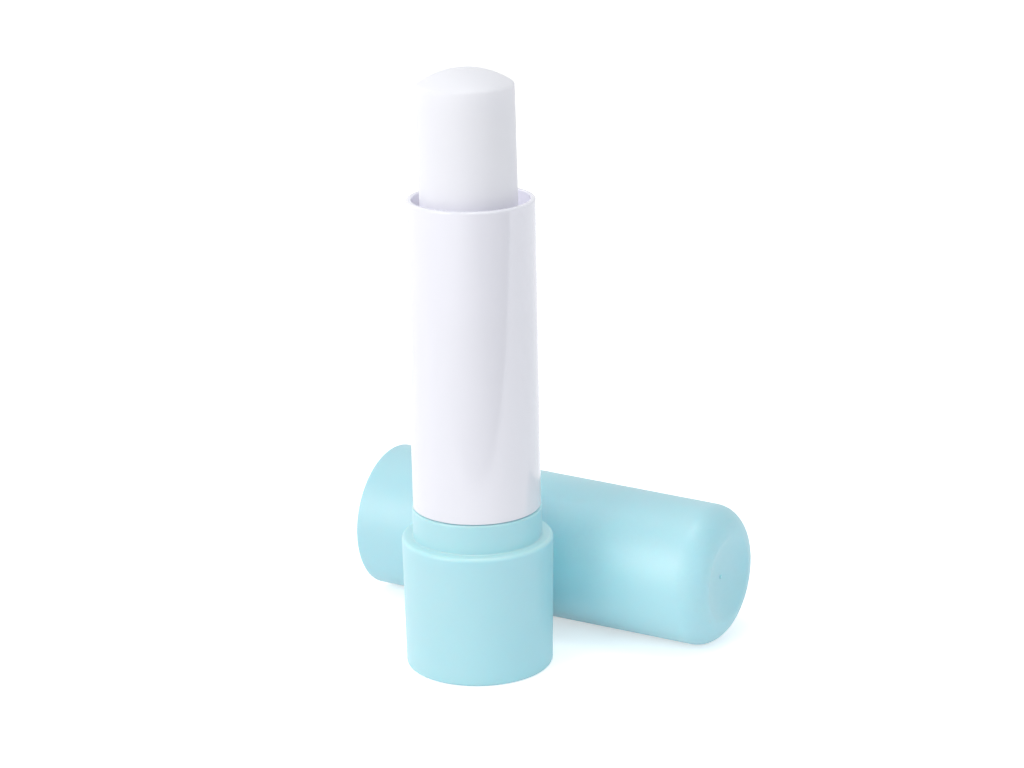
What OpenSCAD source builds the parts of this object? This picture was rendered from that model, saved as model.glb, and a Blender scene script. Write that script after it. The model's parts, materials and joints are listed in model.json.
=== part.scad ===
// Twist-up lip balm, standing open, with its cap off and lying on its side against the base.
// Millimetres, Z up. The origin is the middle of the base's foot, on the surface that it stands on.
// Turning the tube on the base winds the carriage up or down the screw, and the balm with it.
// Radii are chained from the balm outwards, so every fit follows when one of them changes.

/* [Balm] */
// Radius of the balm where its domed end starts
balm_r = 6.10; // [5.5:0.05:7]
// How much wider the balm is at its foot
balm_draft = 0.05; // [0:0.01:0.1]
// Length of the balm, from its foot in the carriage to its tip
balm_len = 37.0; // [33:0.1:38.5]
// Height of the domed end
dome_h = 2.00; // [1:0.05:3.5]
// Rounding where the domed end meets the side
dome_round = 0.45; // [0.2:0.05:1]
// How far the tip stands out of the tube's mouth
balm_out = 16.2; // [8:0.1:24]

/* [Carriage] */
// Thickness of the cup's wall
cup_wall = 0.70; // [0.5:0.05:1]
// Thickness of the cup's floor
cup_floor = 1.2; // [0.8:0.1:2]
// Height of the cup's wall above its floor
cup_h = 7.5; // [5:0.1:10]
// How far the two guide rings stand out of the cup
guide_out = 0.42; // [0.3:0.02:0.6]
// How far the cup's rim stays below the tube's mouth when it is wound right up
cup_stop = 0.3; // [0.1:0.1:2]
// Height of the lower guide ring
guide_h = 2.0; // [1:0.1:3]
// Height of the upper guide ring
lip_h = 1.0; // [0.5:0.1:2]
// Number of fins that key the balm in the cup
fin_count = 4; // [2:1:6]
// Thickness of a fin
fin_w = 0.8; // [0.5:0.1:1.2]
// How far a fin reaches in from the cup's wall
fin_in = 1.2; // [0.6:0.1:2]
// Height of a fin above the cup's floor
fin_h = 4.5; // [2:0.1:5]
// Outer radius of the nut that hangs under the cup
nut_r = 3.4; // [3:0.1:4]
// Length of the nut below the cup
nut_len = 11.5; // [8:0.1:12]

/* [Screw] */
// Radius of the screw's core
core_r = 1.50; // [1.2:0.05:1.8]
// Height of the thread above the core
thread_h = 0.70; // [0.4:0.05:0.8]
// Rise of the thread in one turn
lead = 4.0; // [3:0.1:5]
// Width of the thread's ridge at the core
ridge_root = 1.6; // [1.2:0.1:1.8]
// Width of the thread's ridge at its crest
ridge_crest = 0.8; // [0.4:0.1:1]
// Height of the stretch of thread in the nut
nut_thread = 5.0; // [3:0.1:7]
// Thickness of the flange under the tube's floor
flange_h = 0.8; // [0.5:0.1:1.5]
// How far the flange stands out of the journal
flange_out = 0.85; // [0.5:0.05:1.2]
// Distance from the middle to a corner of the screw's hexagonal foot
hex_r = 2.4; // [2:0.1:2.8]

/* [Tube] */
// Height of the white tube above the base's collar
tube_h = 39.96; // [38:0.1:48]
// Thickness of the tube's wall at its mouth
tube_wall = 0.65; // [0.5:0.05:1.2]
// How much wider the tube is at its foot
tube_draft = 0.17; // [0:0.01:0.4]
// Rounding of the tube's outer edge at the mouth
mouth_round = 0.28; // [0.1:0.02:0.4]
// Number of guide ribs inside the tube
rib_count = 4; // [2:1:6]
// Width of a guide rib
rib_w = 1.2; // [0.8:0.1:2]
// How far below the mouth the guide ribs end
rib_stop = 2.6; // [1:0.1:6]
// Length of the neck that turns in the base
neck_len = 13.1; // [10:0.1:13.5]
// Thickness of the neck's wall
neck_wall = 0.90; // [0.6:0.05:1.2]
// Thickness of the floor in the neck, and of the ledge above it
neck_floor = 1.0; // [0.8:0.1:1.5]
// How far below the shoulder the middle of the snap bead lies
bead_drop = 3.2; // [2:0.1:5]
// How far the snap bead stands out of the neck
bead_out = 0.22; // [0.1:0.02:0.3]
// Height of the snap bead
bead_h = 1.0; // [0.6:0.1:1.6]

/* [Base] */
// Height of the skirt, from the foot to the shoulder
base_h = 17.3; // [16.5:0.1:24]
// How much narrower the skirt is at its foot
base_draft = 0.25; // [0:0.01:0.4]
// Thickness of the floor
base_floor = 1.6; // [1:0.1:2]
// Rounding of the shoulder's outer edge
shoulder_round = 0.50; // [0.2:0.05:0.8]
// Rounding of the foot's edge
foot_round = 0.40; // [0.1:0.05:0.8]
// How far the collar stands out past the tube's foot
collar_out = 0.07; // [0:0.01:0.1]
// Height of the collar above the shoulder
collar_h = 3.9; // [3:0.1:5]
// Rounding of the collar's upper edge
collar_round = 0.30; // [0.1:0.05:0.4]
// Thickness of the collar's wall
collar_wall = 0.90; // [0.6:0.05:1.2]
// Thickness of the boss's wall at the corners of the screw's foot
boss_wall = 1.1; // [0.8:0.1:1.5]
// Number of webs between the boss and the skirt
web_count = 6; // [3:1:8]
// Thickness of a web
web_w = 0.9; // [0.6:0.1:1.2]

/* [Cap] */
// Length of the cap
cap_len = 51.7; // [50:0.1:60]
// Thickness of the cap's wall at its mouth
cap_wall = 1.37; // [1:0.01:1.6]
// How much narrower the cap is at its closed end
cap_draft = 0.37; // [0:0.01:0.6]
// Rounding of the closed end, measured along the cap
end_round_l = 3.50; // [2:0.1:5]
// Rounding of the closed end, measured across the cap
end_round_w = 3.60; // [2:0.1:4.5]
// Depth of the dish in the closed end
dish_deep = 1.20; // [0.2:0.05:1.4]
// Thickness of the closed end at the bottom of the dish
end_wall = 1.4; // [1:0.1:2]
// Radius of the gate mark in the middle of the dish
gate_r = 0.30; // [0.2:0.05:0.6]
// Height of the gate mark
gate_h = 0.20; // [0.1:0.05:0.4]
// Rounding of the mouth's outer edge
cap_edge = 0.25; // [0.1:0.05:0.5]

/* [Where the cap lies] */
// Heading of the cap's closed end, turned from the X axis
cap_turn = -31.75; // [-90:0.25:90]
// How far the mouth lies behind the place where the cap passes the base
cap_back = 25.4; // [0:0.1:50]
// Gap between the cap and the base
cap_gap = 0.2; // [0.1:0.05:2]

/* [Clearances] */
// Between the balm's foot and the cup's wall
cast_play = 0.02; // [0.01:0.01:0.05]
// Between the guide rings and the tube's bore
guide_play = 0.10; // [0.05:0.01:0.2]
// Between a rib and the sides and bottom of its slot
rib_play = 0.15; // [0.1:0.01:0.25]
// Between the screw's thread and the nut
thread_play = 0.12; // [0.1:0.01:0.2]
// Between the screw's journal and the tube's floor
journal_play = 0.08; // [0.04:0.01:0.15]
// Between the neck and its socket in the base
neck_play = 0.08; // [0.04:0.01:0.12]
// Between the snap bead and its groove
bead_play = 0.10; // [0.05:0.01:0.2]
// Between the cap's bore and the collar
cap_play = 0.05; // [0.02:0.01:0.1]
// Between the screw's foot and its socket
hex_play = 0.02; // [0.01:0.01:0.05]
// Between faces that turn on each other, up and down
thrust_play = 0.08; // [0.05:0.01:0.15]
// Between the balm and the screw that reaches up into it
balm_bore_play = 0.25; // [0.2:0.05:0.5]

/* [Hidden] */
$fn = 96;
arc_steps = 6;
ridge_steps = 16;
// How far a shape is sunk into the one that it is joined to, and a cut drawn past the face that it cuts
embed = 0.25;
overlap = 1;
// Small breaks, roundings and spare lengths
edge_break = 0.15;
tip_break = 0.5;
neck_lead = 0.4;
web_drop = 1.5;
ceiling_round = 2.0;
journal_rise = 0.2;
thread_rise = 0.8;
nut_lead_in = 0.2;
thread_spare = 1.0;
screw_spare = 0.3;
balm_bore_spare = 1.5;

// Radii, from the balm outwards
balm_foot_r = balm_r + balm_draft;
cup_in_r = balm_foot_r + cast_play;
cup_r = cup_in_r + cup_wall;
guide_r = cup_r + guide_out;
bore_r = guide_r + guide_play;
tube_mouth_r = bore_r + tube_wall;
tube_foot_r = tube_mouth_r + tube_draft;
collar_r = tube_foot_r + collar_out;
socket_r = collar_r - collar_wall;
neck_r = socket_r - neck_play;
neck_in_r = neck_r - neck_wall;
cap_bore_r = collar_r + cap_play;
base_r = cap_bore_r + cap_wall;
base_foot_r = base_r - base_draft;
cap_end_r = base_r - cap_draft;
rib_in_r = cup_r + rib_play;

// Radii of the screw and of what it turns in
thread_r = core_r + thread_h;
nut_bore_r = thread_r + thread_play;
nut_crest_r = core_r + thread_play;
journal_r = thread_r + thread_play;
hole_r = journal_r + journal_play;
flange_r = journal_r + flange_out;
balm_bore_r = thread_r + balm_bore_play;
boss_r = hex_r + boss_wall;
groove_r = neck_r + bead_out + bead_play;

// Heights on the stick
collar_top = base_h + collar_h;
tube_foot = collar_top + thrust_play;
mouth = tube_foot + tube_h;
neck_foot = tube_foot - neck_len;
ledge = tube_foot + neck_floor;
bead_mid = base_h - bead_drop;
flange_top = neck_foot - thrust_play;
boss_top = flange_top - flange_h;
balm_tip = mouth + balm_out;
balm_foot = balm_tip - balm_len;
cup_foot = balm_foot - cup_floor;
nut_foot = cup_foot - nut_len;

// Lowest and highest place of the cup, and the screw that carries it there
cup_lowest = ledge + thrust_play;
cup_highest = mouth - cup_stop - cup_h - cup_floor;
journal_top = neck_foot + neck_floor + journal_rise;
thread_foot = journal_top + thread_rise;
nut_start = nut_foot + ridge_gap(nut_bore_r + embed) / 2 + nut_lead_in;
thread_top = nut_start + cup_highest - cup_foot + nut_thread - thread_spare;
screw_tip = thread_top + tip_break + screw_spare;
balm_bore_top = balm_foot + screw_tip - (cup_lowest + cup_floor) + balm_bore_spare;

// Where the cap lies: its side rests on the floor all along, so its axis dips with the draft
cap_dip = atan(cap_draft / (cap_len - end_round_l));
cap_axis_h = base_r * cos(cap_dip);
cap_side = cap_mid_r(cap_back) + base_mid_r(cap_axis_h) + cap_gap;

// Points of an arc or a quarter of an ellipse
function arc(x, y, rx, ry, from, to, steps = arc_steps) =
    [for (i = [0:steps]) let (a = from + (to - from) * i / steps) [x + rx * cos(a), y + ry * sin(a)]];

// Radius of the skirt at a height, and of the cap at a distance from its mouth
function base_mid_r(z) = base_foot_r + base_draft * z / base_h;
function cap_mid_r(l) = base_r - cap_draft * l / (cap_len - end_round_l);

// Width of the screw's ridge at a radius, and of the nut's ridge, which fills the gap less its play
function ridge_width(r) = ridge_root + (ridge_crest - ridge_root) * (r - core_r) / thread_h;
function ridge_gap(r) = lead - ridge_width(r) - 2 * thread_play;

// One helical ridge from radius r_root to r_crest, faded into its wall over a quarter turn at each end
module helix_ridge(foot, height, r_root, r_crest, w_root, w_crest) {
    side = sign(r_crest - r_root);
    n = floor(height / lead * ridge_steps);
    fade_n = ridge_steps / 4;
    points = [for (i = [0:n]) let (
            a = 360 * i / ridge_steps,
            z = foot + lead * i / ridge_steps,
            up = min(1, i / fade_n, (n - i) / fade_n),
            faded = r_root + side * embed / 2,
            r = faded + (r_crest - faded) * up)
        for (p = [[r_root, -w_root], [r, -w_crest], [r, w_crest], [r_root, w_root]])
            [p[0] * cos(a), p[0] * sin(a), z + side * p[1] / 2]];
    sides = [for (i = [0:n - 1], k = [0:3]) let (
            a = 4 * i + k,
            b = 4 * i + (k + 1) % 4)
        each [[a, b, b + 4], [a, b + 4, a + 4]]];
    polyhedron(points, concat([[3, 2, 1, 0]], sides, [[4 * n, 4 * n + 1, 4 * n + 2, 4 * n + 3]]));
}

// Copies of a shape, spread evenly around the axis
module around(count) {
    for (i = [0:count - 1]) rotate(360 * (i + 0.5) / count) children();
}

// Upright plate that stands on the X axis from radius from_r to to_r
module fin(from_r, to_r, width, foot, top) {
    translate([from_r, -width / 2, foot]) cube([to_r - from_r, width, top - foot]);
}

// Base: the skirt and the collar in one moulding, with the socket that the tube's neck turns in,
// and a webbed boss that grips the screw's foot
module base() {
    color([0.70, 0.88, 0.92]) {
        rotate_extrude() polygon(concat(
            [[0, 0]],
            arc(base_mid_r(foot_round) - foot_round, foot_round, foot_round, foot_round, -90, 0),
            arc(base_r - shoulder_round, base_h - shoulder_round, shoulder_round, shoulder_round, 0, 90),
            [[collar_r, base_h]],
            arc(collar_r - collar_round, collar_top - collar_round, collar_round, collar_round, 0, 90),
            [[socket_r + edge_break, collar_top],
             [socket_r, collar_top - edge_break],
             [socket_r, bead_mid + bead_h / 2 + bead_play],
             [groove_r, bead_mid + bead_h / 4 + bead_play],
             [groove_r, bead_mid - bead_h / 4 - bead_play],
             [socket_r, bead_mid - bead_h / 2 - bead_play],
             [socket_r, base_floor],
             [0, base_floor]]));
        difference() {
            union() {
                translate([0, 0, base_floor - embed]) cylinder(r = boss_r, h = boss_top - base_floor + embed);
                around(web_count)
                    fin(hex_r, socket_r + embed, web_w, base_floor - embed, boss_top - web_drop);
            }
            translate([0, 0, base_floor]) cylinder(r = hex_r + hex_play, h = boss_top, $fn = 6);
        }
    }
}

// Screw: a hexagonal foot, a flange, a journal, and the threaded rod that the carriage climbs
module screw() {
    color([0.93, 0.94, 0.95]) {
        translate([0, 0, base_floor]) cylinder(r = hex_r, h = boss_top - base_floor + embed, $fn = 6);
        rotate_extrude() polygon([
            [0, boss_top], [flange_r, boss_top], [flange_r, flange_top], [journal_r, flange_top],
            [journal_r, journal_top], [core_r, journal_top + journal_r - core_r],
            [core_r, screw_tip - tip_break], [core_r - tip_break, screw_tip], [0, screw_tip]]);
        helix_ridge(thread_foot, thread_top - thread_foot, core_r - embed, thread_r,
            ridge_width(core_r - embed), ridge_crest);
    }
}

// Tube: the white body with its neck below, a ledge where the carriage stops, and ribs that stop it turning
module tube() {
    color([0.95, 0.95, 0.97]) {
        rotate_extrude() polygon(concat(
            [[hole_r, neck_foot], [neck_r - neck_lead, neck_foot], [neck_r, neck_foot + neck_lead],
             [neck_r, bead_mid - bead_h / 2], [neck_r + bead_out, bead_mid - bead_h / 4],
             [neck_r + bead_out, bead_mid + bead_h / 4], [neck_r, bead_mid + bead_h / 2],
             [neck_r, tube_foot], [tube_foot_r - edge_break, tube_foot],
             [tube_foot_r, tube_foot + edge_break]],
            arc(tube_mouth_r - mouth_round, mouth - mouth_round, mouth_round, mouth_round, 0, 90),
            [[bore_r + edge_break, mouth], [bore_r, mouth - edge_break], [bore_r, ledge],
             [neck_in_r, ledge], [neck_in_r, neck_foot + neck_floor], [hole_r, neck_foot + neck_floor]]));
        around(rib_count) fin(rib_in_r, bore_r + embed, rib_w, ledge - embed, mouth - rib_stop);
    }
}

// Carriage: the cup that holds the balm's foot, its two guide rings, and the nut that runs on the screw
module carriage() {
    cup_top = cup_foot + cup_floor + cup_h;
    color([0.93, 0.94, 0.95]) {
        difference() {
            rotate_extrude() polygon([
                [nut_bore_r, nut_foot], [nut_r, nut_foot], [nut_r, cup_foot],
                [guide_r - edge_break, cup_foot], [guide_r, cup_foot + edge_break],
                [guide_r, cup_foot + guide_h], [cup_r, cup_foot + guide_h],
                [cup_r, cup_top - lip_h], [guide_r, cup_top - lip_h], [guide_r, cup_top - edge_break],
                [guide_r - edge_break, cup_top], [cup_in_r, cup_top],
                [cup_in_r, balm_foot], [nut_bore_r, balm_foot]]);
            around(rib_count)
                fin(cup_r, guide_r + overlap, rib_w + 2 * rib_play, cup_foot - overlap, cup_top + overlap);
        }
        around(fin_count) fin(cup_in_r - fin_in, cup_in_r + embed, fin_w, balm_foot - embed, balm_foot + fin_h);
        rotate(360 * (nut_start - thread_foot) / lead - 180)
            helix_ridge(nut_start, nut_thread, nut_bore_r + embed, nut_crest_r,
                ridge_gap(nut_bore_r + embed), ridge_gap(nut_crest_r));
    }
}

// Balm: the cast bullet with its domed end, keyed by the cup's fins and hollow where the screw reaches in
module balm() {
    dome_r = (balm_r * balm_r + dome_h * dome_h) / (2 * dome_h);
    dome_mid = balm_tip - dome_r;
    meet = acos((balm_r - dome_round) / (dome_r - dome_round));
    edge_mid = dome_mid + (dome_r - dome_round) * sin(meet);
    color([0.94, 0.95, 0.97])
        difference() {
            rotate_extrude() polygon(concat(
                [[balm_bore_r, balm_foot], [balm_foot_r, balm_foot]],
                arc(balm_r - dome_round, edge_mid, dome_round, dome_round, 0, meet),
                [for (i = [1:2 * arc_steps]) let (a = meet + (90 - meet) * i / (2 * arc_steps))
                    [dome_r * cos(a), dome_mid + dome_r * sin(a)]],
                [[0, balm_bore_top], [balm_bore_r, balm_bore_top - balm_bore_r / 2]]));
            around(fin_count)
                fin(cup_in_r - fin_in - cast_play, cup_r, fin_w + 2 * cast_play, balm_foot - overlap,
                    balm_foot + fin_h + cast_play);
        }
}

// Cap standing on its mouth: a drafted sleeve with a straight bore, a rounded end and a dish with a gate mark
module cap_body() {
    rim_r = cap_end_r - end_round_w;
    dish_r = (rim_r * rim_r + dish_deep * dish_deep) / (2 * dish_deep);
    dish_angle = asin(rim_r / dish_r);
    dish_foot = cap_len - dish_deep;
    ceiling = dish_foot - end_wall;
    rotate_extrude() polygon(concat(
        [[cap_bore_r + edge_break, 0]],
        arc(base_r - cap_edge, cap_edge, cap_edge, cap_edge, -90, 0),
        arc(rim_r, cap_len - end_round_l, end_round_w, end_round_l, 0, 90, 2 * arc_steps),
        [for (i = [1:arc_steps]) let (a = dish_angle * (1 - i / arc_steps))
            if (dish_r * sin(a) > gate_r) [dish_r * sin(a), dish_foot + dish_r * (1 - cos(a))]],
        [[gate_r, dish_foot], [gate_r, dish_foot + gate_h], [0, dish_foot + gate_h], [0, ceiling]],
        arc(cap_bore_r - ceiling_round, ceiling - ceiling_round, ceiling_round, ceiling_round, 90, 0),
        [[cap_bore_r, edge_break]]));
}

// Cap: taken off, lying on its side with its closed end to the front
module cap() {
    color([0.66, 0.88, 0.93])
        rotate(cap_turn)
            translate([-cap_back, cap_side, cap_axis_h])
                rotate([0, 90 + cap_dip, 0])
                    cap_body();
}

base();
screw();
tube();
carriage();
balm();
cap();
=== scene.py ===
import json
import math

import bmesh
import bpy
from mathutils import Matrix, Vector


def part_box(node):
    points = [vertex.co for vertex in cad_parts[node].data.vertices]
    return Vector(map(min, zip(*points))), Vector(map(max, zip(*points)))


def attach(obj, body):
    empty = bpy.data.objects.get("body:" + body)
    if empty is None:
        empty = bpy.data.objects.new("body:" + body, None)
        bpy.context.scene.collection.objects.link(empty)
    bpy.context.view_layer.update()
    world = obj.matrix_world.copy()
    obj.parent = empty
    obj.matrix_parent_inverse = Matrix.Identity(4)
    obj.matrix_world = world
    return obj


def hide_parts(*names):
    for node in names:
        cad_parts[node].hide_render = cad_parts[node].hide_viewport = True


bl_info = {
    "name": "Lip balm stick",
    "version": (1, 0, 0),
    "blender": (4, 5, 0),
    "location": "View3D > Sidebar > Lip balm",
    "description": "Mouldings, balm, studio and camera for an open lip balm stick with its cap beside it",
    "category": "Object",
}

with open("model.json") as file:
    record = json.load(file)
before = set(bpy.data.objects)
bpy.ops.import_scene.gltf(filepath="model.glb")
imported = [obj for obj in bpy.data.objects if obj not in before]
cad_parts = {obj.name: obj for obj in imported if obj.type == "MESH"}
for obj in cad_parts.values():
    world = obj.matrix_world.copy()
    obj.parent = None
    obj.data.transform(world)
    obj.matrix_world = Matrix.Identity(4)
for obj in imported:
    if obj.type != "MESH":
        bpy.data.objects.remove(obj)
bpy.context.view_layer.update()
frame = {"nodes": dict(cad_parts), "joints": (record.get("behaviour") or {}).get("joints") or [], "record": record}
MM = 0.001
STAND, BARREL, LIFT = "stand", "barrel", "lift"
MOUNTS = {mount["name"]: mount for mount in frame["record"]["mounts"]}
TURN_JOINT = next(joint for joint in frame["joints"] if joint["name"] == "tube_turn")

# Distances below this count as nothing
TOUCHING = 1e-6

# Front edge of the white table: beyond it the floor is painted dark for glossy rays only, so that glossy faces
# show a painted dark room in their reflection
TABLE_FRONT = -0.088

# The painted room in the reflections is bright on the left up to the first X, and darkens evenly up to the second
ROOM_BRIGHT_X, ROOM_DARK_X = -0.1182, 0.0636

# Places that the frame gives: radii from the mounts, heights from the nodes' boxes
COLLAR_R = MOUNTS["collar"]["dims"]["r_mm"] * MM
CAP_BORE_R = MOUNTS["cap_bore"]["dims"]["r_mm"] * MM
SKIRT_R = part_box("base")[1].x
COLLAR_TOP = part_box("base")[1].z
NECK_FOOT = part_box("tube")[0].z
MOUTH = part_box("tube")[1].z
TUBE_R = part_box("tube")[1].x
PARTING = TURN_JOINT["pos_m"][2]
BALM_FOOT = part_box("balm")[0].z
BALM_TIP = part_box("balm")[1].z
BALM_FOOT_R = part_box("balm")[1].x


def length(name, about, value):
    """A size in metres that the sidebar shows."""
    return bpy.props.FloatProperty(name=name, description=about, default=value, unit="LENGTH", precision=5)


def colour(name, about, value):
    """A colour that the sidebar shows, stored linear from the sRGB value that is given."""
    linear = [c / 12.92 if c <= 0.04045 else ((c + 0.055) / 1.055) ** 2.4 for c in value]
    return bpy.props.FloatVectorProperty(
        name=name, description=about, default=linear, subtype="COLOR", size=3, min=0.0, max=1.0)


class LipBalmBaseSizes(bpy.types.PropertyGroup):
    """Sizes of the pale blue base"""
    draft: length("Draft", "How much narrower the skirt is at its foot", 0.25 * MM)
    shoulder: length("Shoulder", "Height of the shoulder above the floor", 17.3 * MM)
    foot_round: length("Foot rounding", "Rounding of the foot's edge", 0.40 * MM)
    shoulder_round: length("Shoulder rounding", "Rounding of the shoulder's outer edge", 0.50 * MM)
    collar_round: length("Collar rounding", "Rounding of the collar's upper edge", 0.30 * MM)
    corner_round: length("Corner rounding", "Fillet in the corner between shoulder and collar", 0.15 * MM)
    socket_r: length("Socket radius", "Radius of the socket that the neck turns in", 7.38 * MM)
    floor: length("Floor", "Thickness of the base's floor", 1.6 * MM)
    boss_r: length("Boss radius", "Outer radius of the boss", 3.5 * MM)
    boss_top: length("Boss top", "Height of the boss's top", 7.3 * MM)
    hex_r: length("Hexagon radius", "Middle to corner of the boss's hexagonal socket", 2.42 * MM)
    play: length("Play", "Room around the tube's snap bead in its groove", 0.10 * MM)
    web_w: length("Web", "Thickness of a web", 0.9 * MM)
    web_edge: length("Web edge", "Rounding of the webs' edges", 0.08 * MM)
    web_top: length("Web top", "Height of the webs", 5.8 * MM)
    web_count: bpy.props.IntProperty(name="Webs", description="Webs between boss and skirt", default=6, min=2)


class LipBalmTubeSizes(bpy.types.PropertyGroup):
    """Sizes of the white tube"""
    draft: length("Draft", "How much narrower the tube is at its mouth", 0.17 * MM)
    wall: length("Wall", "Thickness of the wall at the mouth", 0.65 * MM)
    mouth_round: length("Mouth rounding", "Rounding of the mouth's outer edge", 0.28 * MM)
    edge: length("Edge", "Break of the small edges", 0.15 * MM)
    neck_r: length("Neck radius", "Outer radius of the neck", 7.30 * MM)
    neck_wall: length("Neck wall", "Thickness of the neck's wall", 0.90 * MM)
    neck_lead: length("Neck lead", "Chamfer at the foot of the neck", 0.4 * MM)
    bead_drop: length("Bead drop", "How far below the shoulder the neck's snap bead sits", 3.2 * MM)
    bead_h: length("Bead height", "Height of the snap bead", 1.0 * MM)
    bead_out: length("Bead", "How far the snap bead stands out of the neck", 0.22 * MM)
    floor: length("Floor", "Thickness of the neck's floor and of the ledge", 1.0 * MM)
    hole_r: length("Hole", "Radius of the hole for the screw", 2.40 * MM)
    rib_in: length("Rib radius", "Distance of the ribs from the axis", 7.02 * MM)
    rib_w: length("Rib", "Width of a guide rib", 1.2 * MM)
    rib_edge: length("Rib edge", "Rounding of the ribs' edges", 0.10 * MM)
    rib_stop: length("Rib stop", "How far below the mouth the ribs end", 2.6 * MM)
    rib_count: bpy.props.IntProperty(name="Ribs", description="Guide ribs in the tube", default=4, min=2)


class LipBalmBulletSizes(bpy.types.PropertyGroup):
    """Sizes of the balm"""
    draft: length("Draft", "How much wider the balm is at its foot", 0.05 * MM)
    dome: length("Dome", "Height of the domed end", 2.0 * MM)
    dome_round: length("Dome's edge", "Rounding of the dome's edge", 0.45 * MM)
    lean: bpy.props.FloatProperty(
        name="Lean", description="How far the balm leans to the left in its cup, as it was cast",
        default=math.radians(0.7), subtype="ANGLE")
    bore_r: length("Bore", "Radius of the hollow where the screw reaches in", 2.45 * MM)
    bore_h: length("Bore depth", "Depth of that hollow", 25.37 * MM)


class LipBalmCapSizes(bpy.types.PropertyGroup):
    """Sizes of the cap"""
    length: length("Length", "Length of the cap", 51.7 * MM)
    draft: length("Draft", "How much narrower the cap is at its closed end", 0.37 * MM)
    edge: length("Mouth edge", "Rounding of the mouth's outer edge", 0.25 * MM)
    round_l: length("End rounding, along", "Rounding of the closed end along the cap", 3.50 * MM)
    round_w: length("End rounding, across", "Rounding of the closed end across the cap", 3.60 * MM)
    dish: length("Dish", "Depth of the dish in the closed end", 1.20 * MM)
    end_wall: length("End wall", "Thickness at the bottom of the dish", 1.4 * MM)
    ceiling_round: length("Inner rounding", "Rounding of the bore's inner end", 2.0 * MM)
    gate_r: length("Gate mark", "Radius of the gate mark", 0.30 * MM)
    gate_h: length("Gate height", "Height of the gate mark", 0.20 * MM)
    gate_taper: bpy.props.FloatProperty(
        name="Gate taper", description="Top of the gate mark as a share of its foot",
        default=0.8, min=0.1, max=1.0)


class LipBalmColours(bpy.types.PropertyGroup):
    """Colours of the plastics and of the balm"""
    blue: colour("Pale blue", "Base and cap", (0.700, 0.887, 0.922))
    blue_deep: colour("Deep blue", "Base and cap where they are a little thicker", (0.660, 0.878, 0.917))
    white: colour("White", "Tube", (0.962, 0.958, 0.99))
    inner: colour("Inner white", "Screw and carriage", (0.96, 0.965, 0.97))
    balm: colour("Balm", "The balm", (0.96, 0.958, 1.0))


class Value:
    """A value in a shader tree that adds its Math nodes as it is calculated with."""

    def __init__(self, tree, socket):
        self.tree, self.socket = tree, socket

    def math(self, operation, other=None, third=None):
        inputs = [self] + [v for v in (other, third) if v is not None]
        return self.tree.node("ShaderNodeMath", {"operation": operation}, dict(enumerate(inputs))).out(0)

    def __add__(self, other):
        return self.math("ADD", other)

    def __sub__(self, other):
        return self.math("SUBTRACT", other)

    def __mul__(self, other):
        return self.math("MULTIPLY", other)

    def __rsub__(self, other):
        return (self * -1.0) + other

    __radd__ = __add__
    __rmul__ = __mul__

    def clamp(self):
        return self.tree.node("ShaderNodeClamp", {}, {"Value": self}).out(0)


class Node:
    """One node of a tree, with its outputs as values."""

    def __init__(self, tree, node):
        self.tree, self.node = tree, node

    def out(self, key):
        return Value(self.tree, self.node.outputs[key])


class ShaderTree:
    """A material's or a world's node tree, and the one method that adds to it."""

    def __init__(self, owner):
        owner.use_nodes = True
        self.tree = owner.node_tree
        self.tree.nodes.clear()

    def node(self, kind, settings=None, inputs=None):
        node = self.tree.nodes.new(kind)
        for name, value in (settings or {}).items():
            setattr(node, name, value)
        for key, value in (inputs or {}).items():
            if isinstance(value, Value):
                self.tree.links.new(value.socket, node.inputs[key])
            else:
                node.inputs[key].default_value = value
        return Node(self, node)

    def noise(self, scale, detail=2.0, stretch=(1.0, 1.0, 1.0)):
        """Noise on Object coordinates: scale is in waves a metre, and stretch squeezes it along each axis."""
        place = self.node("ShaderNodeTexCoord").out("Object")
        squeezed = self.node("ShaderNodeMapping", {}, {"Vector": place, "Scale": stretch}).out(0)
        inputs = {"Vector": squeezed, "Scale": scale, "Detail": detail}
        return self.node("ShaderNodeTexNoise", {}, inputs).out(0)

    def mix(self, factor, first, second):
        """Colour between first and second."""
        return self.node("ShaderNodeMix", {"data_type": "RGBA"}, {0: factor, 6: first, 7: second}).out(2)

    def finish(self, shader, kind="ShaderNodeOutputMaterial"):
        self.node(kind, {}, {"Surface": shader})


def moulding(name, shade, deep, roughness, grain, constants):
    """Moulded plastic or wax, from shade to deep and with the shader's constants. In grain, cloud, drawn and
    fine are noise scales in waves a metre, tone and polish say how uneven colour and roughness are, stretch
    draws the marks out along each axis, and bump and depth are those of the relief."""
    material = bpy.data.materials.new(name)
    tree = ShaderTree(material)
    cloud = tree.noise(grain["cloud"], 2.0)
    tone = ((cloud - 0.5) * grain["tone"] + 0.5).clamp()
    base = tree.mix(tone, (*shade, 1.0), (*deep, 1.0))
    drawn = tree.noise(grain["drawn"], 3.0, grain["stretch"])
    polish = (drawn - 0.5) * grain["polish"] + roughness
    fine = tree.noise(grain["fine"], 2.0)
    height = fine * grain["fine_share"] + drawn * (1.0 - grain["fine_share"])
    bump = tree.node("ShaderNodeBump", {}, {
        "Strength": grain["bump"], "Distance": grain["depth"], "Height": height}).out(0)
    settings = {"Base Color": base, "Roughness": polish, "Normal": bump, **constants}
    tree.finish(tree.node("ShaderNodeBsdfPrincipled", {}, settings).out(0))
    return material


def blue_plastic(colours):
    """Pale blue translucent moulding with a satin skin."""
    return moulding("blue_plastic", colours.blue, colours.blue_deep, 0.44, {
        "cloud": 90.0, "tone": 0.8, "drawn": 900.0, "stretch": (1.0, 1.0, 0.12), "polish": 0.10,
        "fine": 9000.0, "fine_share": 0.7, "bump": 0.10, "depth": 0.02 * MM}, {
        "IOR": 1.55, "Specular IOR Level": 1.0, "Sheen Weight": 0.10, "Sheen Roughness": 0.5,
        "Subsurface Weight": 0.5, "Subsurface Radius": (0.25, 1.0, 1.15), "Subsurface Scale": 0.9 * MM})


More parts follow.
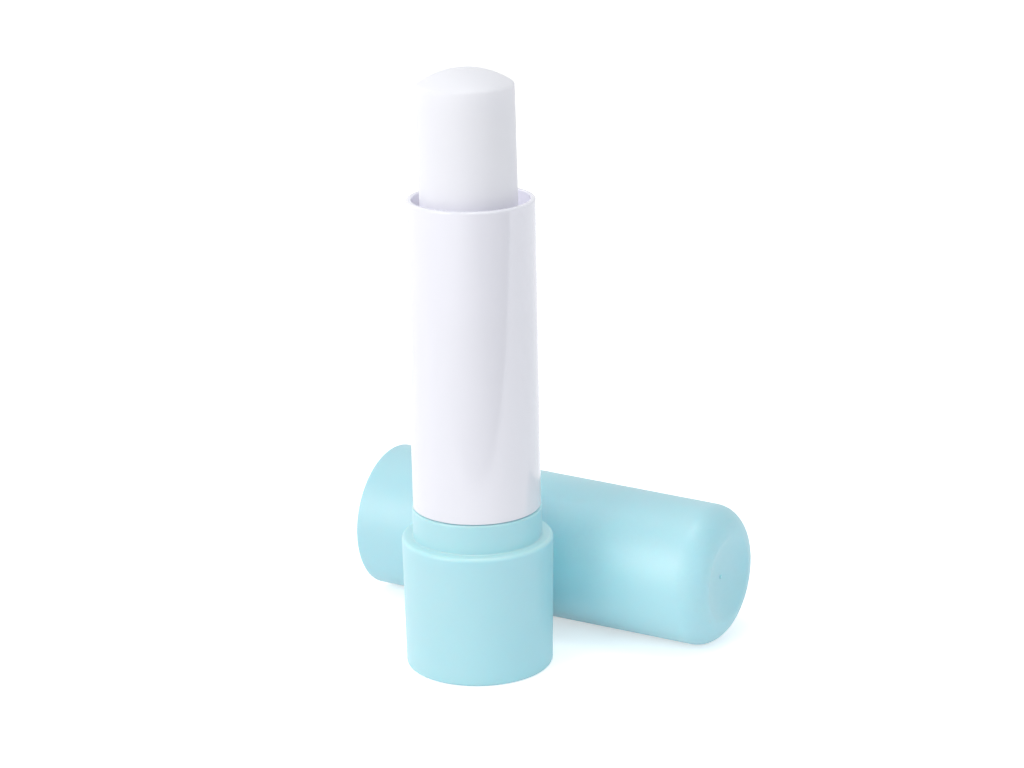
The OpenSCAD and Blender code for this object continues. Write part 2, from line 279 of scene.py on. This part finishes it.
def white_plastic(colours):
    """Polished white moulding, with faint draw marks along the tube."""
    return moulding("white_plastic", colours.white, [c * 0.985 for c in colours.white], 0.09, {
        "cloud": 70.0, "tone": 0.6, "drawn": 700.0, "stretch": (1.0, 1.0, 0.05), "polish": 0.03,
        "fine": 5000.0, "fine_share": 0.4, "bump": 0.04, "depth": 0.010 * MM}, {
        "IOR": 1.49, "Specular IOR Level": 0.75,
        "Subsurface Weight": 0.3, "Subsurface Radius": (1.0, 1.0, 1.0), "Subsurface Scale": 0.8 * MM})


def inner_plastic(colours):
    """Plain white moulding of the screw and the carriage."""
    return moulding("inner_plastic", colours.inner, [c * 0.97 for c in colours.inner], 0.40, {
        "cloud": 120.0, "tone": 0.8, "drawn": 1200.0, "stretch": (1.0, 1.0, 0.2), "polish": 0.12,
        "fine": 6000.0, "fine_share": 0.6, "bump": 0.12, "depth": 0.02 * MM}, {"IOR": 1.49})


def balm_wax(colours):
    """Cast wax: soft, a little see-through, with a faint bloom and casting ripple."""
    return moulding("balm_wax", colours.balm, [c * 0.975 for c in colours.balm], 0.42, {
        "cloud": 160.0, "tone": 0.9, "drawn": 500.0, "stretch": (1.0, 1.0, 0.35), "polish": 0.14,
        "fine": 3500.0, "fine_share": 0.55, "bump": 0.16, "depth": 0.03 * MM}, {
        "IOR": 1.44, "Subsurface Weight": 0.8, "Subsurface Radius": (1.0, 1.0, 1.0),
        "Subsurface Scale": 2.6 * MM})


def arc(x, z, rx, rz, start, end, steps=8):
    """Points of an arc, or of a piece of an ellipse, from angle start to end in degrees."""
    angles = [math.radians(start + (end - start) * i / steps) for i in range(steps + 1)]
    return [(x + rx * math.cos(a), z + rz * math.sin(a)) for a in angles]


def supported(profile, near):
    """The profile with a point near each end of its long straight stretches, to keep their shading flat."""
    points = []
    for start, end in zip(profile, profile[1:] + profile[:1]):
        points.append(start)
        run = math.dist(start, end)
        if run > 4 * near:
            for share in (near / run, 1 - near / run):
                points.append(tuple(a + (b - a) * share for a, b in zip(start, end)))
    return points


def revolve(name, profile, segments=192, near=0.12 * MM, bend=None):
    """Solid of revolution about Z. The profile is a closed loop of (radius, height), and bend may move a
    point, given its angle, radius and height."""
    mesh = bpy.data.meshes.new(name)
    bm = bmesh.new()
    rings = []
    for radius, height in supported(profile, near):
        if radius < TOUCHING:
            rings.append([bm.verts.new((0, 0, height))])
            continue
        ring = []
        for i in range(segments):
            angle = 2 * math.pi * i / segments
            r, z = bend(angle, radius, height) if bend else (radius, height)
            ring.append(bm.verts.new((r * math.cos(angle), r * math.sin(angle), z)))
        rings.append(ring)
    for low, high in zip(rings, rings[1:] + rings[:1]):
        if len(low) == 1 and len(high) == 1:
            continue
        for i in range(segments):
            j = (i + 1) % segments
            corners = [low[i % len(low)], low[j % len(low)], high[j % len(high)], high[i % len(high)]]
            bm.faces.new(list(dict.fromkeys(corners)))
    bmesh.ops.recalc_face_normals(bm, faces=bm.faces)
    bm.to_mesh(mesh)
    bm.free()
    return shaded(bpy.data.objects.new(name, mesh))


def shaded(piece, sharp=38):
    """The piece in the scene, smooth but for its sharp edges."""
    bpy.context.scene.collection.objects.link(piece)
    piece.data.shade_smooth()
    piece.data.set_sharp_from_angle(angle=math.radians(sharp))
    return piece


def placed(piece, material, body, slot, *nodes):
    """Gives a piece its material and its body, and hides the CAD nodes that it stands for; slot is not used."""
    piece.data.materials.clear()
    piece.data.materials.append(material)
    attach(piece, body)
    if nodes:
        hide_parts(*nodes)
    return piece


def around_tree():
    """Geometry Nodes: copies of the piece, turned evenly around Z, from a named count."""
    tree = bpy.data.node_groups.new("spread_around", "GeometryNodeTree")
    face = tree.interface
    face.new_socket("Geometry", in_out="INPUT", socket_type="NodeSocketGeometry")
    face.new_socket("Count", in_out="INPUT", socket_type="NodeSocketInt")
    face.new_socket("Material", in_out="INPUT", socket_type="NodeSocketMaterial")
    face.new_socket("Geometry", in_out="OUTPUT", socket_type="NodeSocketGeometry")
    add, link = tree.nodes.new, tree.links.new
    given, made = add("NodeGroupInput"), add("NodeGroupOutput")
    points, copies = add("GeometryNodePoints"), add("GeometryNodeInstanceOnPoints")
    index, half, share, turn = add("GeometryNodeInputIndex"), *(add("ShaderNodeMath") for _ in range(3))
    angles, real, paint = add("ShaderNodeCombineXYZ"), add("GeometryNodeRealizeInstances"), add(
        "GeometryNodeSetMaterial")
    steps = (half, "ADD", 0.5), (share, "DIVIDE", 1.0), (turn, "MULTIPLY", 2 * math.pi)
    for node, operation, value in steps:
        node.operation = operation
        node.inputs[1].default_value = value
    link(given.outputs["Count"], points.inputs["Count"])
    link(index.outputs[0], half.inputs[0])
    link(half.outputs[0], share.inputs[0])
    link(given.outputs["Count"], share.inputs[1])
    link(share.outputs[0], turn.inputs[0])
    link(turn.outputs[0], angles.inputs["Z"])
    link(points.outputs[0], copies.inputs["Points"])
    link(given.outputs["Geometry"], copies.inputs["Instance"])
    link(angles.outputs[0], copies.inputs["Rotation"])
    link(copies.outputs[0], real.inputs[0])
    link(real.outputs[0], paint.inputs["Geometry"])
    link(given.outputs["Material"], paint.inputs["Material"])
    link(paint.outputs[0], made.inputs["Geometry"])
    return tree


def spread_around(name, plate, count, material):
    """A plain mesh of count copies of a plate, made with the tree above."""
    tree = bpy.data.node_groups.get("spread_around") or around_tree()
    modifier = plate.modifiers.new("spread", "NODES")
    modifier.node_group = tree
    sockets = {item.name: item.identifier for item in tree.interface.items_tree if item.in_out == "INPUT"}
    modifier[sockets["Count"]] = count
    modifier[sockets["Material"]] = material
    graph = bpy.context.evaluated_depsgraph_get()
    mesh = bpy.data.meshes.new_from_object(plate.evaluated_get(graph))
    mesh.name = name
    bpy.data.objects.remove(plate)
    return shaded(bpy.data.objects.new(name, mesh))


def upright_plate(name, from_r, to_r, width, foot, top, edge):
    """A plate that stands on the X axis, with its edges broken."""
    mesh = bpy.data.meshes.new(name)
    bm = bmesh.new()
    middle = Vector(((from_r + to_r) / 2, 0, (foot + top) / 2))
    bmesh.ops.create_cube(bm, size=1.0, matrix=Matrix.Translation(middle) @ Matrix.Diagonal(
        (to_r - from_r, width, top - foot, 1.0)))
    bmesh.ops.bevel(bm, geom=bm.edges[:], offset=edge, segments=3, affect="EDGES", profile=0.5)
    bm.to_mesh(mesh)
    bm.free()
    plate = bpy.data.objects.new(name, mesh)
    bpy.context.scene.collection.objects.link(plate)
    return plate


class LIPBALM_OT_base(bpy.types.Operator):
    """Makes the base: skirt, shoulder, collar and socket, with the webbed boss inside"""
    bl_idname = "lip_balm.base"
    bl_label = "Base"

    def execute(self, context):
        size = context.scene.lip_balm_base
        tube = context.scene.lip_balm_tube
        material = blue_plastic(context.scene.lip_balm_colours)
        bead_mid, bead, play = size.shoulder - tube.bead_drop, tube.bead_h, size.play
        groove_r = tube.neck_r + tube.bead_out + play
        foot_r = SKIRT_R - size.draft * (1 - size.foot_round / size.shoulder)
        skirt = revolve("base_skirt", [
            (0, 0),
            *arc(foot_r - size.foot_round, size.foot_round, size.foot_round, size.foot_round, -90, 0),
            *arc(SKIRT_R - size.shoulder_round, size.shoulder - size.shoulder_round,
                 size.shoulder_round, size.shoulder_round, 0, 90),
            *arc(COLLAR_R + size.corner_round, size.shoulder + size.corner_round,
                 size.corner_round, size.corner_round, 270, 180, 5),
            *arc(COLLAR_R - size.collar_round, COLLAR_TOP - size.collar_round,
                 size.collar_round, size.collar_round, 0, 90),
            *arc(size.socket_r + tube.edge, COLLAR_TOP - tube.edge, tube.edge, tube.edge, 90, 180, 4),
            (size.socket_r, bead_mid + bead / 2 + play), (groove_r, bead_mid + bead / 4 + play),
            (groove_r, bead_mid - bead / 4 - play), (size.socket_r, bead_mid - bead / 2 - play),
            (size.socket_r, size.floor), (0, size.floor)])
        placed(skirt, material, STAND, "blue_plastic", "base")

        def hexagonal(angle, radius, height):
            """Turns the boss's inner wall into the six flats that grip the screw's foot."""
            sixth = math.radians(60)
            flat = math.cos(sixth / 2) / math.cos(angle % sixth - sixth / 2)
            return (radius * flat if radius < size.boss_r - tube.edge - TOUCHING else radius), height

        boss = revolve("base_boss", [
            (size.hex_r, size.floor), (size.boss_r, size.floor), (size.boss_r, size.boss_top - tube.edge),
            (size.boss_r - tube.edge, size.boss_top), (size.hex_r, size.boss_top)], bend=hexagonal)
        placed(boss, material, STAND, "blue_plastic")
        plate = upright_plate("web", size.boss_r - tube.edge, size.socket_r + tube.edge, size.web_w,
                              size.floor - tube.edge, size.web_top, size.web_edge)
        webs = spread_around("base_webs", plate, size.web_count, material)
        placed(webs, material, STAND, "blue_plastic")
        return {"FINISHED"}


class LIPBALM_OT_tube(bpy.types.Operator):
    """Makes the white tube with its neck, its ledge and its guide ribs"""
    bl_idname = "lip_balm.tube"
    bl_label = "Tube"

    def execute(self, context):
        size = context.scene.lip_balm_tube
        base = context.scene.lip_balm_base
        material = white_plastic(context.scene.lip_balm_colours)
        mouth_r = TUBE_R - size.draft
        bore_r = mouth_r - size.wall
        neck_in = size.neck_r - size.neck_wall
        lead, bead, proud = size.neck_lead, size.bead_h, size.bead_out
        bead_mid = base.shoulder - size.bead_drop
        shell = revolve("tube_shell", [
            (size.hole_r, NECK_FOOT), (size.neck_r - lead, NECK_FOOT), (size.neck_r, NECK_FOOT + lead),
            (size.neck_r, bead_mid - bead / 2), (size.neck_r + proud, bead_mid - bead / 4),
            (size.neck_r + proud, bead_mid + bead / 4), (size.neck_r, bead_mid + bead / 2),
            (size.neck_r, PARTING),
            *arc(TUBE_R - size.edge, PARTING + size.edge, size.edge, size.edge, -90, 0, 5),
            *arc(mouth_r - size.mouth_round, MOUTH - size.mouth_round,
                 size.mouth_round, size.mouth_round, 0, 90),
            *arc(bore_r + size.edge, MOUTH - size.edge, size.edge, size.edge, 90, 180, 5),
            (bore_r, PARTING + size.floor), (neck_in, PARTING + size.floor),
            (neck_in, NECK_FOOT + size.floor), (size.hole_r, NECK_FOOT + size.floor)])
        placed(shell, material, BARREL, "white_plastic", "tube")
        plate = upright_plate("rib", size.rib_in, bore_r + size.wall / 3, size.rib_w,
                              PARTING + size.floor - size.edge, MOUTH - size.rib_stop, size.rib_edge)
        ribs = spread_around("tube_ribs", plate, size.rib_count, material)
        placed(ribs, material, BARREL, "white_plastic")
        return {"FINISHED"}


class LIPBALM_OT_balm(bpy.types.Operator):
    """Makes the cast bullet of balm"""
    bl_idname = "lip_balm.balm"
    bl_label = "Balm"

    def execute(self, context):
        size = context.scene.lip_balm_bullet
        side_r, edge = BALM_FOOT_R - size.draft, size.dome_round
        dome_r = (side_r ** 2 + size.dome ** 2) / (2 * size.dome)
        middle = BALM_TIP - dome_r
        meet = math.degrees(math.acos((side_r - edge) / (dome_r - edge)))
        edge_h = middle + (dome_r - edge) * math.sin(math.radians(meet))
        bullet = revolve("balm_bullet", [
            (size.bore_r, BALM_FOOT), (BALM_FOOT_R, BALM_FOOT),
            *arc(side_r - edge, edge_h, edge, edge, 0, meet, 8),
            *arc(0, middle, dome_r, dome_r, meet, 90, 20)[1:],
            (0, BALM_FOOT + size.bore_h), (size.bore_r, BALM_FOOT + size.bore_h - size.bore_r / 2)])
        foot = Vector((0, 0, BALM_FOOT))
        lean = Matrix.Translation(foot) @ Matrix.Rotation(-size.lean, 4, "Y") @ Matrix.Translation(-foot)
        hollow_r, hollow_top = size.bore_r + TOUCHING, BALM_FOOT + size.bore_h + TOUCHING
        for point in bullet.data.vertices:
            # The hollow stays upright around the screw
            in_hollow = point.co.xy.length < hollow_r and point.co.z < hollow_top
            if not in_hollow:
                point.co = lean @ point.co
        placed(bullet, balm_wax(context.scene.lip_balm_colours), LIFT, "balm", "balm")
        return {"FINISHED"}


class LIPBALM_OT_inner(bpy.types.Operator):
    """Finishes the screw and the carriage, which keep their CAD shape"""
    bl_idname = "lip_balm.inner"
    bl_label = "Screw and carriage"

    def execute(self, context):
        material = inner_plastic(context.scene.lip_balm_colours)
        for name in ("screw", "carriage"):
            node = frame["nodes"][name]
            node.data.materials.clear()
            node.data.materials.append(material)
        return {"FINISHED"}


def cap_pose():
    """Where the cap lies: the bore mount's axis points out of the mouth, and its place is 1 mm inside."""
    mount = MOUNTS["cap_bore"]
    inwards = -Vector(mount["axis"])
    mouth = Vector(mount["pos_m"]) - inwards * MM
    return Matrix.Translation(mouth) @ inwards.to_track_quat("Z", "Y").to_matrix().to_4x4()


class LIPBALM_OT_cap(bpy.types.Operator):
    """Makes the cap, lying on its side"""
    bl_idname = "lip_balm.cap"
    bl_label = "Cap"

    def execute(self, context):
        size = context.scene.lip_balm_cap
        tube = context.scene.lip_balm_tube
        end_r = SKIRT_R - size.draft
        rim_r = end_r - size.round_w
        dish_r = (rim_r ** 2 + size.dish ** 2) / (2 * size.dish)
        dish_angle = math.degrees(math.asin(rim_r / dish_r))
        dish_foot = size.length - size.dish
        gate_angle = math.degrees(math.asin(size.gate_r / dish_r))
        ceiling = dish_foot - size.end_wall
        inner = size.ceiling_round
        sleeve = revolve("cap_sleeve", [
            *arc(SKIRT_R - size.edge, size.edge, size.edge, size.edge, -90, 0, 6),
            *arc(rim_r, size.length - size.round_l, size.round_w, size.round_l, 0, 90, 24),
            *arc(0, dish_foot + dish_r, dish_r, dish_r, dish_angle - 90, gate_angle - 90, 12)[1:],
            (size.gate_r * size.gate_taper, dish_foot + size.gate_h), (0, dish_foot + size.gate_h),
            (0, ceiling),
            *arc(CAP_BORE_R - inner, ceiling - inner, inner, inner, 90, 0, 10),
            *arc(CAP_BORE_R + tube.edge, tube.edge, tube.edge, tube.edge, 180, 270, 5)])
        sleeve.data.transform(cap_pose())
        placed(sleeve, blue_plastic(context.scene.lip_balm_colours), STAND, "blue_plastic", "cap")
        return {"FINISHED"}


def lamp(name, place, target, size, power, shade=(1.0, 1.0, 1.0), *, lit, passes=(), spread=math.pi):
    """A soft rectangular lamp that faces its target, in a beam of the angle spread. It lights only the pieces
    named in lit, and its light goes through those named in passes, as through thin white plastic and wax."""
    light = bpy.data.lights.new(name, "AREA")
    light.spread = spread
    light.shape, light.size, light.size_y = "RECTANGLE", size[0], size[1]
    light.energy, light.color = power, shade
    holder = bpy.data.objects.new(name, light)
    bpy.context.scene.collection.objects.link(holder)
    holder.location = place
    holder.rotation_euler = (Vector(target) - Vector(place)).to_track_quat("-Z", "Y").to_euler()
    linking = holder.light_linking
    linking.receiver_collection = linked(name + "_lit", lit, "INCLUDE")
    if passes:
        linking.blocker_collection = linked(name + "_passes", passes, "EXCLUDE")
    return holder


def linked(name, pieces, state):
    """A collection for light linking that includes or excludes the named pieces."""
    group = bpy.data.collections.new(name)
    for piece in pieces:
        group.objects.link(bpy.data.objects[piece])
    for entry in group.collection_objects:
        entry.light_linking.link_state = state
    return group


class LIPBALM_OT_stage(bpy.types.Operator):
    """Makes the white floor, the studio light and the camera"""
    bl_idname = "lip_balm.stage"
    bl_label = "Stage"

    def execute(self, context):
        self.make_floor()
        self.make_world(context.scene)
        self.make_lamps()
        self.make_camera(context.scene)
        context.scene.view_settings.view_transform = "Standard"
        return {"FINISHED"}

    def seen_directly(self, tree):
        """1 for a ray from the camera or from a gloss or glass surface."""
        ray = tree.node("ShaderNodeLightPath")
        seen = ray.out("Is Camera Ray").math("MAXIMUM", ray.out("Is Glossy Ray"))
        return seen.math("MAXIMUM", ray.out("Is Transmission Ray"))

    def make_floor(self):
        mesh = bpy.data.meshes.new("floor")
        bm = bmesh.new()
        bmesh.ops.create_grid(bm, x_segments=1, y_segments=1, size=3.0)
        bm.to_mesh(mesh)
        bm.free()
        floor = bpy.data.objects.new("floor", mesh)
        bpy.context.scene.collection.objects.link(floor)
        material = bpy.data.materials.new("floor_white")
        tree = ShaderTree(material)
        lit = tree.node("ShaderNodeBsdfDiffuse", {}, {"Color": (0.93, 0.94, 0.955, 1.0)}).out(0)
        glow = tree.node("ShaderNodeEmission", {}, {"Color": (1.0, 1.0, 1.0, 1.0), "Strength": 0.50}).out(0)
        shown = tree.node("ShaderNodeAddShader", {}, {0: lit, 1: glow}).out(0)
        near = tree.node("ShaderNodeMixShader", {}, {0: self.seen_directly(tree), 1: lit, 2: shown}).out(0)
        # Painted reflection: glossy rays that reach the floor in front of the table see this dark colour instead
        # of the white floor, fading in towards the right; the camera never sees it
        room = tree.node("ShaderNodeBsdfDiffuse", {}, {"Color": (0.05, 0.05, 0.05, 1.0)}).out(0)
        place = tree.node("ShaderNodeTexCoord").out("Object")
        along = tree.node("ShaderNodeSeparateXYZ", {}, {0: place})
        before_table = along.out("Y").math("LESS_THAN", TABLE_FRONT)
        to_right = ((along.out("X") - ROOM_BRIGHT_X) * (1 / (ROOM_DARK_X - ROOM_BRIGHT_X))).clamp()
        mirrored = tree.node("ShaderNodeLightPath").out("Is Glossy Ray")
        tree.finish(tree.node("ShaderNodeMixShader", {}, {
            0: before_table * to_right * mirrored, 1: near, 2: room}).out(0))
        mesh.materials.append(material)

    def make_world(self, scene):
        world = bpy.data.worlds.new("studio")
        scene.world = world
        tree = ShaderTree(world)
        around = tree.node("ShaderNodeBackground", {}, {
            "Color": (0.935, 0.965, 1.0, 1.0), "Strength": 0.57}).out(0)
        white = tree.node("ShaderNodeBackground", {}, {"Color": (1.0, 1.0, 1.0, 1.0), "Strength": 1.0}).out(0)
        tree.finish(tree.node("ShaderNodeMixShader", {}, {
            0: self.seen_directly(tree), 1: around, 2: white}).out(0), "ShaderNodeOutputWorld")

    def make_lamps(self):
        """Each lamp is linked to the pieces that it lights."""
        middle = Vector((0.005, 0.005, 0.035))
        clear = ("tube_shell", "tube_ribs", "balm_bullet")
        blue = ("base_skirt", "base_boss", "base_webs", "cap_sleeve")
        rest = (*blue, "floor", "screw", "carriage")
        everything = (*clear, *rest)
        softly_white = (1.0, 0.99, 1.0)

        # Key from the left and fill from the right, with a twin each for the tube and the balm, which its
        # light goes through
        key = (-0.60, -0.42, 0.34), middle, (0.45, 0.55)
        fill = (0.44, -0.70, 0.25), middle, (0.6, 0.6)
        lamp("key", *key, 2.35, (1.0, 0.89, 0.835), lit=rest)
        lamp("key_clear", *key, 1.98, softly_white, lit=clear, passes=clear)
        lamp("fill", *fill, 0.28, lit=rest)
        lamp("fill_clear", *fill, 0.62, lit=clear, passes=clear)

        # Rim from behind on the left, and a lamp overhead
        lamp("rim", (-0.60, 0.42, 0.22), middle, (0.40, 0.40), 0.75, softly_white, lit=everything)
        lamp("top", (0.0, -0.02, 0.62), middle, (0.26, 0.26), 0.65, lit=everything)

        # The broad pale patch on the cap's side, from a narrow beam
        pose = cap_pose()
        patch_along, patch_spread = 0.034, math.radians(6.0)
        to_front = pose.to_3x3().col[2].cross(Vector((0, 0, 1))).normalized()
        patch = pose @ Vector((0, 0, patch_along)) + to_front * SKIRT_R
        lamp("cap_side", patch + Vector((0.10, -0.45, 0.12)), patch, (0.012, 0.012), 0.00036,
             (1.0, 1.0, 0.92), lit=("cap_sleeve",), spread=patch_spread)

        # A warm lamp for the pale shoulder, and a cyan one for the shaded side of the blue pieces
        warm = (1.0, 0.55, 0.30)
        lamp("shoulder", (0.0, -0.12, 0.60), middle, (0.26, 0.26), 1.0, warm, lit=("base_skirt",))
        lamp("blue_glow", (0.50, -0.50, 0.12), middle, (0.5, 0.5), 0.48, (0.0, 0.80, 1.0), lit=blue)

    def make_camera(self, scene):
        """The camera, in front of the stick and looking a little down, from its fit to the outlines."""
        view = bpy.data.cameras.new("camera")
        holder = bpy.data.objects.new("camera", view)
        scene.collection.objects.link(holder)
        focal_px, image_w = 2685.9, 1024
        distance, height = 0.32372, 0.13530
        yaw, pitch, roll = 0.01460, 0.29442, -0.01650
        view.sensor_width = 36.0
        view.lens = focal_px / image_w * view.sensor_width
        view.clip_start, view.clip_end = 0.01, 20.0
        ahead = Vector((math.sin(yaw) * math.cos(pitch), math.cos(yaw) * math.cos(pitch), -math.sin(pitch)))
        level = Vector((math.cos(yaw), -math.sin(yaw), 0.0))
        upright = level.cross(ahead)
        right = math.cos(roll) * level + math.sin(roll) * upright
        up = -math.sin(roll) * level + math.cos(roll) * upright
        turn = Matrix((right, up, -ahead)).transposed().to_4x4()
        holder.matrix_world = Matrix.Translation((0.0, -distance, height)) @ turn
        scene.camera = holder


class LIPBALM_PT_sidebar(bpy.types.Panel):
    """Lists what makes the stick"""
    bl_idname = "LIPBALM_PT_sidebar"
    bl_label = "Lip balm stick"
    bl_space_type = "VIEW_3D"
    bl_region_type = "UI"
    bl_category = "Lip balm"

    def draw(self, context):
        for operator in OPERATORS:
            self.layout.operator(operator.bl_idname)
        for name in GROUPS:
            group = getattr(context.scene, name)
            box = self.layout.box()
            for field in group.bl_rna.properties:
                if field.identifier not in ("rna_type", "name"):
                    box.prop(group, field.identifier)


OPERATORS = (LIPBALM_OT_base, LIPBALM_OT_tube, LIPBALM_OT_balm, LIPBALM_OT_inner, LIPBALM_OT_cap,
             LIPBALM_OT_stage)
GROUPS = {
    "lip_balm_base": LipBalmBaseSizes,
    "lip_balm_tube": LipBalmTubeSizes,
    "lip_balm_bullet": LipBalmBulletSizes,
    "lip_balm_cap": LipBalmCapSizes,
    "lip_balm_colours": LipBalmColours,
}


def register():
    for made in (*GROUPS.values(), *OPERATORS, LIPBALM_PT_sidebar):
        bpy.utils.register_class(made)
    for name, group in GROUPS.items():
        setattr(bpy.types.Scene, name, bpy.props.PointerProperty(type=group))


def unregister():
    for name in GROUPS:
        delattr(bpy.types.Scene, name)
    for made in reversed((*GROUPS.values(), *OPERATORS, LIPBALM_PT_sidebar)):
        bpy.utils.unregister_class(made)


def main():
    register()
    bpy.ops.lip_balm.base()
    bpy.ops.lip_balm.tube()
    bpy.ops.lip_balm.balm()
    bpy.ops.lip_balm.inner()
    bpy.ops.lip_balm.cap()
    bpy.ops.lip_balm.stage()


if __name__ == "__main__":
    main()
